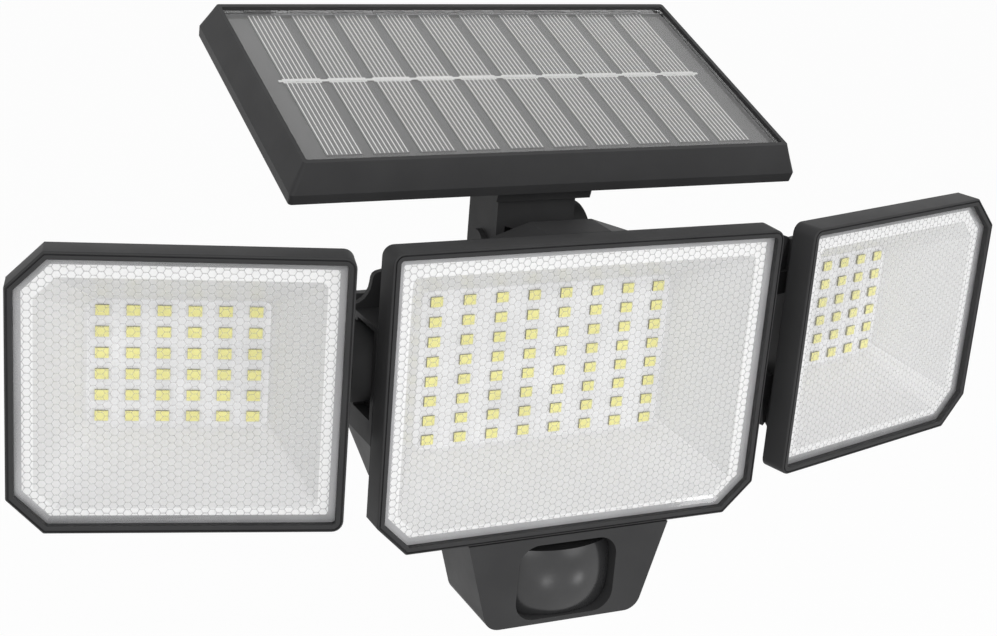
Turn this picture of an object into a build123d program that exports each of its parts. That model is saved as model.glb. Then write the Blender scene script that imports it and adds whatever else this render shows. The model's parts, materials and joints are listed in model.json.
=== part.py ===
from build123d import *
import math
import os

os.makedirs("parts", exist_ok=True)

# Frame: origin at the centre of the wall plate's face, +X right as seen from the front,
# +Y into the wall, +Z up. Depths are counted from the rim of the middle lamp and heights
# from its centre; each finished piece is raised by lamp_rise when it is saved.
total_depth = 126.0
front = Plane.XZ.offset(total_depth)

# Lamp frames
frame_depth = 8.0
frame_wall = 1.4
lip_width = 2.1
lip_depth = 1.8
edge_break = 0.4
fit = 0.1
lens_thick = 1.0
seal_thick = 0.3
seal_band = 1.8
flange_thick = 1.0
seal_top = lip_depth + lens_thick
flange_top = seal_top + seal_thick
tongue_top = flange_top + flange_thick
tongue_wall = 1.5
shell_wall = 1.8
reflector_wall = 1.2
board_top = 25.5
board_thick = 1.6
board_back = board_top + board_thick
led_size = (3.5, 2.8)
led_thick = 0.7

# Housing, wide enough for the battery cells
cell_r = 9.2
cell_len = 65.0
box_half = cell_len / 2 + 4.0
body_half = box_half + 11.5
body_cut = 6.0
post_w = 6.4

# Knuckle between the housing and each side lamp
disc_r = 11.0
disc_depth = 25.0
cheek_outer = body_half + 13.0
cheek_inner = body_half + 0.3
disc_inner = cheek_outer - 7.0
disc_outer = cheek_outer + 1.0
pocket_gap = 0.35
cheek_rim = cheek_outer - 4.0
cheek_front = 11.0
cheek_back = 38.0
cheek_high = 13.9
cheek_low = 10.5
web_thick = 2.0
web_edge = (
    (7.8, 24.1), (5.9, 23.7), (5.0, 23.1), (4.6, 22.2), (4.4, 20.6),
    (4.1, 19.1), (3.4, 17.8), (2.6, 16.7), (1.4, 15.8), (0.0, 15.2),
)
gusset_start = 19.0
gusset_end = 36.0
arm_x = cheek_outer + 4.96
arm_depth = 20.0
barrel_r = 4.5
barrel_half = 12.5
ear_gap = 0.3
ear_top = 19.5
ear_flare = 29.5
pin_r = 1.5
bolt_r = 2.0
run_fit = 0.05

# Side lamps, mirrored left and right
side_x = arm_x + 43.0
side_set_back = 10.64
side_z = 4.54
side_yaw = 15.03
pan_step = 14.0
pan_back = board_back + shell_wall

# Housing heights and depths
body_top = 34.0
body_bottom = -38.0
body_start = 17.0
cradle_end = 23.0
shell_end = 29.2
gasket_thick = 0.8
cover_front = shell_end + gasket_thick
cover_thick = 2.4
cover_back = cover_front + cover_thick
box_top = 14.0
box_end = 66.0
box_back_wall = 4.0
button_depth = 48.0
screw_r = 1.5
screw_head_r = 2.8
screw_high = (body_half - 7.0, 28.4)
screw_low = (body_half - 7.0, -32.4)
screw_spots = (screw_high, (-screw_high[0], screw_high[1]), screw_low, (-screw_low[0], screw_low[1]))

# Sensor pod
pod_top_half = 31.0
pod_low_half = 23.5
pod_top = -42.5
pod_low = -69.3
pod_depth = 25.0
eye_half = 15.2
eye_top = -44.8
eye_low = -67.8
eye_r = 6.0
eye_seat = 7.5
eye_lens_top = -47.7
dome_r = 30.0
dome_crown = -0.6
dome_z = -57.5

# Solar panel
panel_w = 147.2
panel_l = 83.2
panel_depth = 65.74
panel_z = 72.2
panel_tilt = 18.16
rim = 1.2
flare_drop = 8.1
tray_drop = 11.1
tray_corner = 1.0
cell_pitch = (panel_w - 14.2) / 10
cell_w = cell_pitch - 3.0
cell_l = panel_l - 9.5
cell_shift = 1.85

# Neck of the panel
pad_thick = 5.8
pad_front = -39.0
pad_back = -14.0
pad_half = 14.5
pad_screw_at = pad_front + 15.5
pad_screw_step = 5.5
pivot_depth = 47.0
pivot_z = 27.6
fork_outer = 12.0
fork_inner = 9.4
fork_r = 9.2
pivot_r = 2.5
knob_r = 11.5
web_front = 2.4
web_low = 36.0
web_tip = 33.6

# Wall bracket
plate_thick = 3.0
plate_w = 72.0
plate_h = 40.0
plate_z = -32.0
lamp_rise = -plate_z
wall_hole_r = 2.5
wall_pitch_x = 54.0
wall_pitch_z = 26.0
flange_w = 48.0
flange_h = 27.0
arm_w = 32.0
arm_h = 22.0
arm_z = -24.0
bracket_pitch = (40.0, 16.0)
bracket_screw_r = 2.0


def at(plane, depth):
    """Plane lying a given depth behind the front plane of a lamp."""
    return plane.offset(-depth)


def window(plane, depth, size, rise, cuts, cut, corner):
    """Rectangle with two cut corners, the others rounded."""
    axis, end = cuts
    with BuildSketch(at(plane, depth)) as face:
        with Locations((0, rise)):
            Rectangle(size[0], size[1])
        chamfer(face.vertices().group_by(axis)[end], cut)
        fillet(face.vertices().group_by(axis)[-1 - end], corner)
    return face.sketch


class Lamp:
    """One lamp head: where it faces and its measured outline, opening and board."""

    def __init__(self, plane, size, cuts, cut, mouth, mouth_rise, floor, floor_rise, grid):
        self.plane = plane
        self.size = size
        self.cuts = cuts
        self.cut = cut
        self.mouth = mouth
        self.mouth_rise = mouth_rise
        self.floor = floor
        self.floor_rise = floor_rise
        self.grid = grid

    def outline(self, depth, inset):
        """Outline of the head drawn in by an inset."""
        size = (self.size[0] - 2 * inset, self.size[1] - 2 * inset)
        cut = self.cut - (2 - math.sqrt(2)) * inset
        corner = max(3.0 - inset, 0.6)
        return window(self.plane, depth, size, 0, self.cuts, cut, corner)

    def step(self, depth, size, rise, cut, inset=0.0):
        """Smaller outline further back, for tapering walls."""
        size = (size[0] - 2 * inset, size[1] - 2 * inset)
        return window(self.plane, depth, size, rise, self.cuts, cut, 2.0)


def side_plane(side):
    """Front plane of the left (-1) or right (+1) lamp."""
    turn = math.radians(side * side_yaw)
    return Plane(
        origin=(side * side_x, side_set_back - total_depth, side_z),
        x_dir=(math.cos(turn), math.sin(turn), 0),
        z_dir=(math.sin(turn), -math.cos(turn), 0),
    )


middle_w = 2 * body_half + 20.3
middle_floor_w = middle_w - 39.5
middle = Lamp(
    front, (middle_w, 84.6), (Axis.Y, 0), 8.8,
    mouth=(middle_w - 13.5, 72.0), mouth_rise=-1.4,
    floor=(middle_floor_w, 46.4), floor_rise=-0.6,
    grid=((middle_floor_w - 7.92) / 7, 5.77, 8, 8),
)
left = Lamp(
    side_plane(-1), (85.0, 74.7), (Axis.X, 0), 9.26,
    mouth=(71.6, 61.5), mouth_rise=-0.75,
    floor=(47.0, 35.0), floor_rise=-0.5,
    grid=(7.87, 5.86, 6, 6),
)
right = Lamp(
    side_plane(1), (85.0, 74.7), (Axis.X, -1), 9.26,
    mouth=(71.6, 61.5), mouth_rise=-0.75,
    floor=(47.0, 35.0), floor_rise=-0.5,
    grid=(7.87, 5.86, 6, 6),
)


def save(part, name):
    """Raise a finished piece to its place in the frame, name it and write its file."""
    placed = Pos(0, 0, lamp_rise) * part
    placed.label = name
    export_step(placed, "parts/" + name + ".step")


def lamp_insides(lamp, name):
    """Frame, lens, seal, reflector, board and LEDs of one lamp head."""
    with BuildPart() as frame:
        extrude(lamp.outline(frame_depth, 0), amount=frame_depth)
        rim_face = frame.faces().sort_by(Axis(lamp.plane.origin, lamp.plane.z_dir))[-1]
        chamfer(rim_face.edges(), edge_break)
        extrude(lamp.outline(frame_depth, frame_wall), amount=frame_depth - lip_depth, mode=Mode.SUBTRACT)
        extrude(lamp.outline(frame_depth, lip_width), amount=frame_depth, mode=Mode.SUBTRACT)

    with BuildPart() as lens:
        extrude(lamp.outline(seal_top, frame_wall + fit), amount=lens_thick)

    with BuildPart() as seal:
        extrude(lamp.outline(flange_top, frame_wall + fit), amount=seal_thick)
        extrude(lamp.outline(flange_top, lip_width + seal_band), amount=seal_thick, mode=Mode.SUBTRACT)

    mouth_out = (lamp.mouth[0] + 2 * reflector_wall, lamp.mouth[1] + 2 * reflector_wall)
    floor_out = (lamp.floor[0] + 2 * reflector_wall, lamp.floor[1] + 2 * reflector_wall)
    with BuildPart() as reflector:
        extrude(lamp.outline(tongue_top, frame_wall + fit), amount=flange_thick)
        loft(
            (lamp.step(flange_top, mouth_out, lamp.mouth_rise, 6.0),
             lamp.step(board_top, floor_out, lamp.floor_rise, 3.0)),
            ruled=True,
        )
        loft(
            (lamp.step(flange_top, lamp.mouth, lamp.mouth_rise, 5.4),
             lamp.step(board_top, lamp.floor, lamp.floor_rise, 2.4)),
            ruled=True,
            mode=Mode.SUBTRACT,
        )

    board_size = (floor_out[0] + 1.6, floor_out[1] + 1.6)
    with BuildPart() as board:
        extrude(window(lamp.plane, board_back, board_size, lamp.floor_rise, lamp.cuts, 2.0, 1.0),
                amount=board_thick)

    with BuildPart() as leds:
        with BuildSketch(at(lamp.plane, board_top)):
            with Locations((0, lamp.floor_rise)):
                with GridLocations(*lamp.grid):
                    Rectangle(*led_size)
        extrude(amount=led_thick)

    save(frame.part, name + "_frame")
    save(lens.part, name + "_lens")
    save(seal.part, name + "_lens_seal")
    save(reflector.part, name + "_reflector")
    save(board.part, name + "_led_board")
    save(leds.part, name + "_leds")


lamp_insides(middle, "middle")
lamp_insides(left, "left")
lamp_insides(right, "right")


def tongue(lamp):
    """Ring that reaches into the lamp frame and clamps the reflector flange."""
    extrude(lamp.outline(frame_depth, frame_wall + fit), amount=frame_depth - tongue_top)


def side_lamp_back(lamp, side, name):
    """Rear cover with hinge ears, and its swivel pin."""
    hinge = Plane(
        origin=(side * arm_x, arm_depth - total_depth, side_z),
        x_dir=lamp.plane.x_dir,
        z_dir=(0, 0, 1),
    )
    ear_low = barrel_half + ear_gap
    mid = (lamp.size[0] - 16.6, lamp.size[1] - 12.7)
    end = (lamp.size[0] - 29.0, lamp.size[1] - 26.7)
    with BuildPart() as pan:
        loft((lamp.outline(frame_depth, 0), lamp.step(pan_step, mid, 0, 7.0)), ruled=True)
        loft((lamp.step(pan_step, mid, 0, 7.0), lamp.step(pan_back, end, 0, 5.0)), ruled=True)
        tongue(lamp)
        # hinge ears above and below the barrel
        for base in (ear_low, -ear_top):
            with BuildSketch(hinge.offset(base)):
                Circle(barrel_r)
                with BuildLine():
                    Polyline(
                        (0, -barrel_r), (side * 12.0, -barrel_r),
                        (side * 12.0, barrel_r), (0, barrel_r), close=True,
                    )
                make_face()
            extrude(amount=ear_top - ear_low)
        # flared webs that carry the ears into the cover
        with BuildSketch(at(lamp.plane, arm_depth + 2.0)):
            for up in (1, -1):
                with BuildLine():
                    Polyline(
                        (-side * 35.6, up * (ear_top - 1.0)), (-side * 33.5, up * ear_flare),
                        (-side * 26.0, up * 22.0), (-side * 27.0, up * ear_low),
                        (-side * 34.0, up * ear_low), close=True,
                    )
                make_face()
        extrude(amount=5.0)
        # hollow
        loft(
            (lamp.outline(frame_depth, frame_wall + fit + tongue_wall),
             lamp.step(pan_step, mid, 0, 6.0, shell_wall)),
            ruled=True,
            mode=Mode.SUBTRACT,
        )
        loft(
            (lamp.step(pan_step, mid, 0, 6.0, shell_wall),
             lamp.step(board_back, end, 0, 4.0, shell_wall)),
            ruled=True,
            mode=Mode.SUBTRACT,
        )
        extrude(
            lamp.outline(frame_depth, frame_wall + fit + tongue_wall),
            amount=frame_depth - tongue_top,
            mode=Mode.SUBTRACT,
        )
        # bore for the swivel pin
        with BuildSketch(hinge.offset(-ear_top)):
            Circle(pin_r)
        extrude(amount=2 * ear_top, mode=Mode.SUBTRACT)

    with BuildPart() as pin:
        with BuildSketch(hinge.offset(-ear_top)):
            Circle(pin_r)
        extrude(amount=2 * ear_top)
        with BuildSketch(hinge.offset(ear_top)):
            Circle(barrel_r - 1.6)
        extrude(amount=1.2)

    save(pan.part, name + "_back_cover")
    save(pin.part, name + "_swivel_pin")


def knuckle(side, name):
    """Arm between housing and lamp, its tilt bolt and friction washer."""
    across = Plane(
        origin=(0, disc_depth - total_depth, side_z),
        x_dir=(0, 1, 0),
        z_dir=(side, 0, 0),
    )
    neck = Plane(origin=(0, -total_depth, side_z), x_dir=(1, 0, 0), z_dir=(0, 0, 1))
    hinge = Plane(origin=(side * arm_x, arm_depth - total_depth, side_z), z_dir=(0, 0, 1))
    with BuildPart() as arm:
        with BuildSketch(across.offset(disc_inner)):
            Circle(disc_r)
        extrude(amount=disc_outer - disc_inner)
        with BuildSketch(neck.offset(-9.0)):
            with BuildLine():
                Polyline(
                    (side * (disc_outer - 0.5), 17.5), (side * arm_x, arm_depth - barrel_r),
                    (side * arm_x, 28.0), (side * (disc_outer - 0.5), 32.0), close=True,
                )
            make_face()
        extrude(amount=18.0)
        with BuildSketch(hinge.offset(-barrel_half)):
            Circle(barrel_r)
        extrude(amount=2 * barrel_half)
        with BuildSketch(across.offset(disc_inner)):
            Circle(bolt_r)
        extrude(amount=6.0, mode=Mode.SUBTRACT)
        with BuildSketch(hinge.offset(-barrel_half)):
            Circle(pin_r + run_fit)
        extrude(amount=2 * barrel_half, mode=Mode.SUBTRACT)

    bolt_seat = body_half - shell_wall
    with BuildPart() as bolt:
        with BuildSketch(across.offset(bolt_seat - 2.0)):
            RegularPolygon(3.5, 6)
        extrude(amount=1.4)
        with BuildSketch(across.offset(bolt_seat - 2.0)):
            Circle(bolt_r)
        extrude(amount=disc_inner + 6.0 - bolt_seat + 2.0)

    with BuildPart() as washer:
        with BuildSketch(across.offset(bolt_seat - 0.6)):
            Circle(3.8)
            Circle(bolt_r, mode=Mode.SUBTRACT)
        extrude(amount=0.6)

    save(arm.part, name + "_arm")
    save(bolt.part, name + "_tilt_bolt")
    save(washer.part, name + "_tilt_washer")


for lamp, side, name in ((left, -1, "left"), (right, 1, "right")):
    side_lamp_back(lamp, side, name)
    knuckle(side, name)

# Front half of the housing: middle lamp cover, cheeks for the knuckles, cradle and sensor pod
body_w = 2 * body_half
body_h = body_top - body_bottom
body_rise = (body_top + body_bottom) / 2


def housing(depth, cut, inset=0.0):
    """Outline of the housing with its four corners cut, drawn in by an inset."""
    with BuildSketch(at(front, depth)) as face:
        with Locations((0, body_rise)):
            Rectangle(body_w - 2 * inset, body_h - 2 * inset)
        chamfer(face.vertices(), cut)
    return face.sketch


with BuildPart() as front_shell:
    loft((middle.outline(frame_depth, 0), housing(body_start, body_cut)), ruled=True)
    extrude(housing(shell_end, body_cut), amount=shell_end - body_start)
    tongue(middle)
    # raised cradle in front of the panel neck
    with BuildSketch(at(front, cradle_end)):
        with BuildLine():
            Polyline((-23.6, 36.6), (-9.5, 41.3), (9.5, 41.3), (23.6, 36.6), (30.0, 30.0), (-30.0, 30.0), close=True)
        make_face()
    extrude(amount=cradle_end - frame_depth)
    # cheeks that hold the knuckle discs, each against a thin web with a hollowed edge
    for side in (-1, 1):
        with BuildSketch(Plane.YZ.offset(side * cheek_rim)):
            with BuildLine():
                Polyline(
                    (cheek_front - total_depth, side_z + cheek_high),
                    (shell_end - total_depth, side_z + cheek_high),
                    (cheek_back - total_depth, side_z + cheek_low),
                    (cheek_back - total_depth, side_z - cheek_low),
                    (shell_end - total_depth, side_z - cheek_high),
                    (cheek_front - total_depth, side_z - cheek_high), close=True,
                )
            make_face()
        extrude(amount=side * (cheek_inner - cheek_rim))
        web = [(side * (body_half - 4.0), side_z + web_edge[0][1])]
        web += [(side * (cheek_rim - inset), side_z + rise) for inset, rise in web_edge]
        web += [(side * cheek_rim, side_z), (side * (body_half - 4.0), side_z)]
        with BuildSketch(at(front, shell_end)):
            with BuildLine():
                Polyline(*web, close=True)
            make_face()
        extrude(amount=web_thick)
        # tapered gusset under the cheek
        with BuildSketch(at(front, shell_end)):
            with BuildLine():
                Polyline(
                    (side * (body_half - 4.0), side_z - cheek_high + 1.0),
                    (side * cheek_rim, side_z - cheek_high + 1.0),
                    (side * cheek_rim, side_z - gusset_start),
                    (side * (body_half + 1.5), side_z - gusset_end),
                    (side * (body_half - 4.0), side_z - gusset_end), close=True,
                )
            make_face()
        extrude(amount=shell_end - cheek_front)
    # sensor pod
    with BuildSketch(at(front, pod_depth)):
        with BuildLine():
            Polyline(
                (-pod_top_half, pod_top), (pod_top_half, pod_top),
                (pod_low_half, pod_low), (-pod_low_half, pod_low), close=True,
            )
        make_face()
        fillet(vertices().group_by(Axis.Y)[0], 5.0)
    extrude(amount=pod_depth)
    with BuildSketch(at(front, pod_depth)):
        with Locations((0, -41.0)):
            Rectangle(2 * pod_top_half - 4.0, 7.0)
    extrude(amount=pod_depth - frame_depth)
    # hollow behind the middle lamp
    loft(
        (middle.outline(frame_depth, frame_wall + fit + tongue_wall),
         housing(body_start, 5.0, shell_wall)),
        ruled=True,
        mode=Mode.SUBTRACT,
    )
    extrude(housing(shell_end, 5.0, shell_wall), amount=shell_end - body_start, mode=Mode.SUBTRACT)
    extrude(
        middle.outline(frame_depth, frame_wall + fit + tongue_wall),
        amount=frame_depth - tongue_top,
        mode=Mode.SUBTRACT,
    )
    # hollow of the pod, open at the back
    with BuildSketch(at(front, pod_depth)):
        with BuildLine():
            Polyline(
                (-pod_top_half + 3.0, pod_top - 1.2), (pod_top_half - 3.0, pod_top - 1.2),
                (pod_low_half - 1.8, pod_low + 1.2), (1.8 - pod_low_half, pod_low + 1.2), close=True,
            )
        make_face()
        fillet(vertices().group_by(Axis.Y)[0], 3.0)
    extrude(amount=pod_depth - eye_seat, mode=Mode.SUBTRACT)
    with BuildSketch(front) as eye:
        with Locations((0, (eye_top + eye_low) / 2)):
            RectangleRounded(2 * eye_half, eye_top - eye_low, eye_r)
    extrude(amount=-eye_seat, mode=Mode.SUBTRACT)
    # wire way between the pod and the housing
    with BuildSketch(at(front, 23.0)):
        with Locations((0, -40.5)):
            Rectangle(12.0, 10.0)
    extrude(amount=5.0, mode=Mode.SUBTRACT)
    # knuckle pockets, front windows and bolt bores
    for side in (-1, 1):
        across = Plane(
            origin=(0, disc_depth - total_depth, side_z),
            x_dir=(0, 1, 0),
            z_dir=(side, 0, 0),
        )
        with BuildSketch(across.offset(disc_inner - ear_gap)):
            Circle(disc_r + pocket_gap)
            with Locations((-6.0, 0)):
                Rectangle(12.0, 2 * barrel_half)
        extrude(amount=cheek_outer - disc_inner + 1.0, mode=Mode.SUBTRACT)
        with BuildSketch(across.offset(body_half - shell_wall - 1.0)):
            Circle(bolt_r + run_fit)
        extrude(amount=10.0, mode=Mode.SUBTRACT)
    # screw posts in the corners
    with BuildSketch(at(front, shell_end)):
        with Locations(screw_spots):
            Rectangle(post_w, post_w)
    extrude(amount=4.6)
    with BuildSketch(at(front, shell_end)):
        with Locations(screw_spots):
            Circle(screw_r)
    extrude(amount=4.6, mode=Mode.SUBTRACT)

save(front_shell.part, "front_shell")

# Seal between the two halves of the housing
with BuildPart() as housing_gasket:
    extrude(housing(cover_front, body_cut), amount=gasket_thick)
    extrude(housing(cover_front, 5.0, shell_wall), amount=gasket_thick, mode=Mode.SUBTRACT)
    with BuildSketch(at(front, cover_front)):
        with Locations(screw_spots):
            Rectangle(post_w, post_w)
    extrude(amount=gasket_thick)
    with BuildSketch(at(front, cover_front)):
        with Locations(screw_spots):
            Circle(screw_r)
    extrude(amount=gasket_thick, mode=Mode.SUBTRACT)

save(housing_gasket.part, "housing_gasket")

# Rear half of the housing: cover plate, battery box and the lug of the panel neck
box_h = box_top - body_bottom
box_rise = (box_top + body_bottom) / 2
pivot = Plane(origin=(0, pivot_depth - total_depth, pivot_z), x_dir=(0, 1, 0), z_dir=(1, 0, 0))
lug_half = 4.0
with BuildPart() as rear_shell:
    extrude(housing(cover_back, body_cut), amount=cover_thick)
    with BuildSketch(at(front, box_end)):
        with Locations((0, box_rise)):
            Rectangle(2 * box_half, box_h)
        fillet(vertices(), 4.0)
    extrude(amount=box_end - cover_front)
    # lug between the fork plates
    with BuildSketch(pivot.offset(-lug_half)):
        Circle(fork_r - 0.6)
        with Locations((0, (box_top - pivot_z) / 2 - 0.5)):
            Rectangle(2 * (fork_r - 0.6), pivot_z - box_top + 1.0)
    extrude(amount=2 * lug_half)
    with BuildSketch(pivot.offset(-(fork_inner - ear_gap))):
        Circle(5.0)
    extrude(amount=2 * (fork_inner - ear_gap))
    # hollow
    with BuildSketch(at(front, box_end - box_back_wall)):
        with Locations((0, box_rise)):
            Rectangle(2 * (box_half - shell_wall), box_h - 2 * shell_wall)
        fillet(vertices(), 0.8)
    extrude(amount=box_end - box_back_wall - cover_front, mode=Mode.SUBTRACT)
    # posts behind the middle lamp's board
    with BuildSketch(at(front, cover_front)):
        with GridLocations(2 * box_half + 4.0, 36.0, 2, 2):
            Rectangle(3.0, 6.0)
    extrude(amount=cover_front - board_back)
    # shelf for the control board
    with BuildSketch(at(front, box_end - box_back_wall)):
        with Locations((30.0, -34.0), (-30.0, -34.0)):
            Rectangle(3.0, 5.0)
    extrude(amount=26.0)
    # bores: housing screws, panel pivot, bracket screws, button
    with BuildSketch(at(front, cover_back)):
        with Locations(screw_spots):
            Circle(screw_r)
    extrude(amount=cover_thick, mode=Mode.SUBTRACT)
    with BuildSketch(pivot.offset(-fork_inner)):
        Circle(pivot_r + run_fit)
    extrude(amount=2 * fork_inner, mode=Mode.SUBTRACT)
    with BuildSketch(at(front, box_end)):
        with Locations((0, arm_z)):
            with GridLocations(*bracket_pitch, 2, 2):
                Circle(bracket_screw_r)
    extrude(amount=3.2, mode=Mode.SUBTRACT)
    with BuildSketch(Plane.XY.offset(body_bottom)):
        with Locations((0, button_depth - total_depth)):
            Circle(4.3)
    extrude(amount=shell_wall, mode=Mode.SUBTRACT)

save(rear_shell.part, "rear_shell")

# Screws of the housing and of the sensor pod cover
with BuildPart() as housing_screws:
    with BuildSketch(at(front, cover_back)):
        with Locations(screw_spots):
            Circle(screw_r)
    extrude(amount=cover_thick + gasket_thick + 4.0)
    with BuildSketch(at(front, cover_back + 1.6)):
        with Locations(screw_spots):
            Circle(screw_head_r)
    extrude(amount=1.6)

save(housing_screws.part, "housing_screws")

# Rear cover of the sensor pod, with posts for the sensor board
with BuildPart() as pod_cover:
    with BuildSketch(at(front, pod_depth)):
        with BuildLine():
            Polyline(
                (-pod_top_half + 3.1, pod_top - 1.3), (pod_top_half - 3.1, pod_top - 1.3),
                (pod_low_half - 1.9, pod_low + 1.3), (1.9 - pod_low_half, pod_low + 1.3), close=True,
            )
        make_face()
        fillet(vertices().group_by(Axis.Y)[0], 2.9)
    extrude(amount=2.0)
    with BuildSketch(at(front, pod_depth - 2.0)):
        with Locations((11.0, dome_z), (-11.0, dome_z)):
            Circle(2.0)
    extrude(amount=2.4)

save(pod_cover.part, "pod_cover")

# Sensor behind the domed lens
with BuildPart() as sensor_board:
    with BuildSketch(at(front, pod_depth - 4.4)):
        with Locations((0, dome_z)):
            Rectangle(28.0, 18.0)
    extrude(amount=board_thick)

save(sensor_board.part, "sensor_board")

with BuildPart() as sensor_can:
    with BuildSketch(at(front, pod_depth - 4.4 - board_thick)):
        with Locations((0, dome_z)):
            Circle(4.6)
    extrude(amount=0.6)
    with BuildSketch(at(front, pod_depth - 4.4 - board_thick)):
        with Locations((0, dome_z)):
            Circle(4.1)
    extrude(amount=3.8)

save(sensor_can.part, "sensor_can")

lens_gap = 0.2
lens_skin = 1.2
lens_half = eye_half - lens_gap
lens_low = eye_low + lens_gap
lens_h = eye_lens_top - lens_low
lens_mid = (eye_lens_top + lens_low) / 2
with BuildPart() as dome_core:
    with BuildSketch(at(front, eye_seat + 1.0)):
        with Locations((0, lens_mid)):
            RectangleRounded(2 * (lens_half - lens_skin), lens_h - 2 * lens_skin, eye_r - lens_skin)
    extrude(amount=eye_seat + 2.0)
    with Locations((0, dome_r + dome_crown - total_depth, dome_z)):
        Sphere(dome_r - lens_skin, mode=Mode.INTERSECT)

with BuildPart() as sensor_lens:
    with BuildSketch(at(front, eye_seat)):
        with Locations((0, lens_mid)):
            Rectangle(2 * lens_half, lens_h)
        fillet(vertices().group_by(Axis.Y)[0], eye_r - lens_gap)
        fillet(vertices().group_by(Axis.Y)[-1], 1.0)
    extrude(amount=eye_seat + 1.0)
    with Locations((0, dome_r + dome_crown - total_depth, dome_z)):
        Sphere(dome_r, mode=Mode.INTERSECT)
    with BuildSketch(at(front, eye_seat + 1.0)):
        with Locations((0, (eye_top + eye_low) / 2 + 0.2)):
            RectangleRounded(2 * eye_half + 2.6, eye_top - eye_low + 0.8, eye_r)
    extrude(amount=1.0)
    add(dome_core.part, mode=Mode.SUBTRACT)

save(sensor_lens.part, "sensor_lens")

# Batteries, holder, control board, button
cell_z = (2.6, -16.4)
cell_depth = 50.4
with BuildPart() as battery_cells:
    for z in cell_z:
        with BuildSketch(Plane.YZ.offset(-cell_len / 2)):
            with Locations((cell_depth - total_depth, z)):
                Circle(cell_r)
        extrude(amount=cell_len)

save(battery_cells.part, "battery_cells")

holder_end = cell_len / 2 + 0.2
holder_h = cell_z[0] - cell_z[1] + 2 * cell_r + 0.4
with BuildPart() as battery_holder:
    with BuildSketch(at(front, box_end - box_back_wall)):
        with Locations((0, sum(cell_z) / 2)):
            Rectangle(2 * (holder_end + 1.5), holder_h)
    extrude(amount=20.0)
    with BuildSketch(at(front, box_end - box_back_wall - 2.0)):
        with Locations((0, sum(cell_z) / 2)):
            Rectangle(2 * holder_end, holder_h + 0.4)
    extrude(amount=20.0, mode=Mode.SUBTRACT)
    with BuildSketch(at(front, box_end - box_back_wall - 2.0)):
        with Locations((0, sum(cell_z) / 2)):
            with GridLocations(44.0, 0, 2, 1):
                Rectangle(2.0, 8.0)
    extrude(amount=8.0)
    for z in cell_z:
        with BuildSketch(Plane.YZ.offset(2.5 - cell_len / 2)):
            with Locations((cell_depth - total_depth, z)):
                Circle(cell_r + 0.1)
        extrude(amount=cell_len - 5.0, mode=Mode.SUBTRACT)

save(battery_holder.part, "battery_holder")

board_z = -31.5
with BuildPart() as control_board:
    with BuildSketch(Plane.XY.offset(board_z)):
        with Locations((0, button_depth + 1.0 - total_depth)):
            Rectangle(2 * box_half - 7.0, 24.0)
    extrude(amount=board_thick)

save(control_board.part, "control_board")

with BuildPart() as mode_switch:
    with BuildSketch(Plane.XY.offset(board_z - 1.0)):
        with Locations((0, button_depth - total_depth)):
            Rectangle(6.0, 6.0)
    extrude(amount=1.0)

save(mode_switch.part, "mode_switch")

button_z = body_bottom + shell_wall
with BuildPart() as mode_button:
    with BuildSketch(Plane.XY.offset(body_bottom - 1.0)):
        with Locations((0, button_depth - total_depth)):
            Circle(4.0)
    extrude(amount=shell_wall + 1.0)
    with BuildSketch(Plane.XY.offset(button_z)):
        with Locations((0, button_depth - total_depth)):
            Circle(5.5)
    extrude(amount=0.8)
    with BuildSketch(Plane.XY.offset(button_z)):
        with Locations((0, button_depth - total_depth)):
            Circle(1.6)
    extrude(amount=board_z - 1.0 - 1.1 - button_z)

save(mode_button.part, "mode_button")

# Solar panel
slope = math.radians(panel_tilt)
panel = Plane(
    origin=(0, panel_depth - total_depth, panel_z),
    x_dir=(1, 0, 0),
    z_dir=(0, -math.sin(slope), math.cos(slope)),
)


def sheet(drop, width, length, corner):
    """Rectangle of the panel, a drop below its rim."""
    with BuildSketch(panel.offset(-drop)) as face:
        RectangleRounded(width, length, corner)
    return face.sketch


inner_w = panel_w - 2 * rim
inner_l = panel_l - 2 * rim - 0.8
glass_top = 1.2
glass_thick = 1.6
busbar_thick = 0.2
strip_thick = 0.4
sheet_thick = 1.2
glass_back = glass_top + glass_thick
strip_top = glass_back + busbar_thick
sheet_top = strip_top + strip_thick
sheet_back = sheet_top + sheet_thick
flare = (panel_w + 6.6, panel_l + 5.4)
tray_foot = (panel_w + 6.4, panel_l + 4.8)
with BuildPart() as panel_tray:
    loft((sheet(0, panel_w, panel_l, tray_corner), sheet(flare_drop, *flare, tray_corner)), ruled=True)
    loft((sheet(flare_drop, *flare, tray_corner), sheet(tray_drop, *tray_foot, tray_corner)), ruled=True)
    extrude(sheet(sheet_back, inner_w, inner_l, 0.6), amount=sheet_back, mode=Mode.SUBTRACT)
    extrude(
        sheet(tray_drop - 2.0, inner_w - 5.0, inner_l - 5.0, 1.0),
        amount=tray_drop - 2.0,
        mode=Mode.SUBTRACT,
    )
    # bosses for the bracket screws
    with BuildSketch(panel.offset(-tray_drop)):
        with Locations((0, pad_screw_at - pad_screw_step), (0, pad_screw_at + pad_screw_step)):
            Circle(3.5)
    extrude(amount=6.3)
    with BuildSketch(panel.offset(-tray_drop)):
        with Locations((0, pad_screw_at - pad_screw_step), (0, pad_screw_at + pad_screw_step)):
            Circle(screw_r)
    extrude(amount=5.0, mode=Mode.SUBTRACT)

save(panel_tray.part, "panel_tray")

with BuildPart() as cell_sheet:
    extrude(sheet(sheet_back, inner_w - fit, inner_l - fit, 0.55), amount=sheet_thick)

save(cell_sheet.part, "cell_sheet")

with BuildPart() as cell_strips:
    with BuildSketch(panel.offset(-sheet_top)):
        with Locations((0, cell_shift)):
            with GridLocations(cell_pitch, 0, 10, 1):
                Rectangle(cell_w, cell_l)
    extrude(amount=strip_thick)

save(cell_strips.part, "cell_strips")

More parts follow.
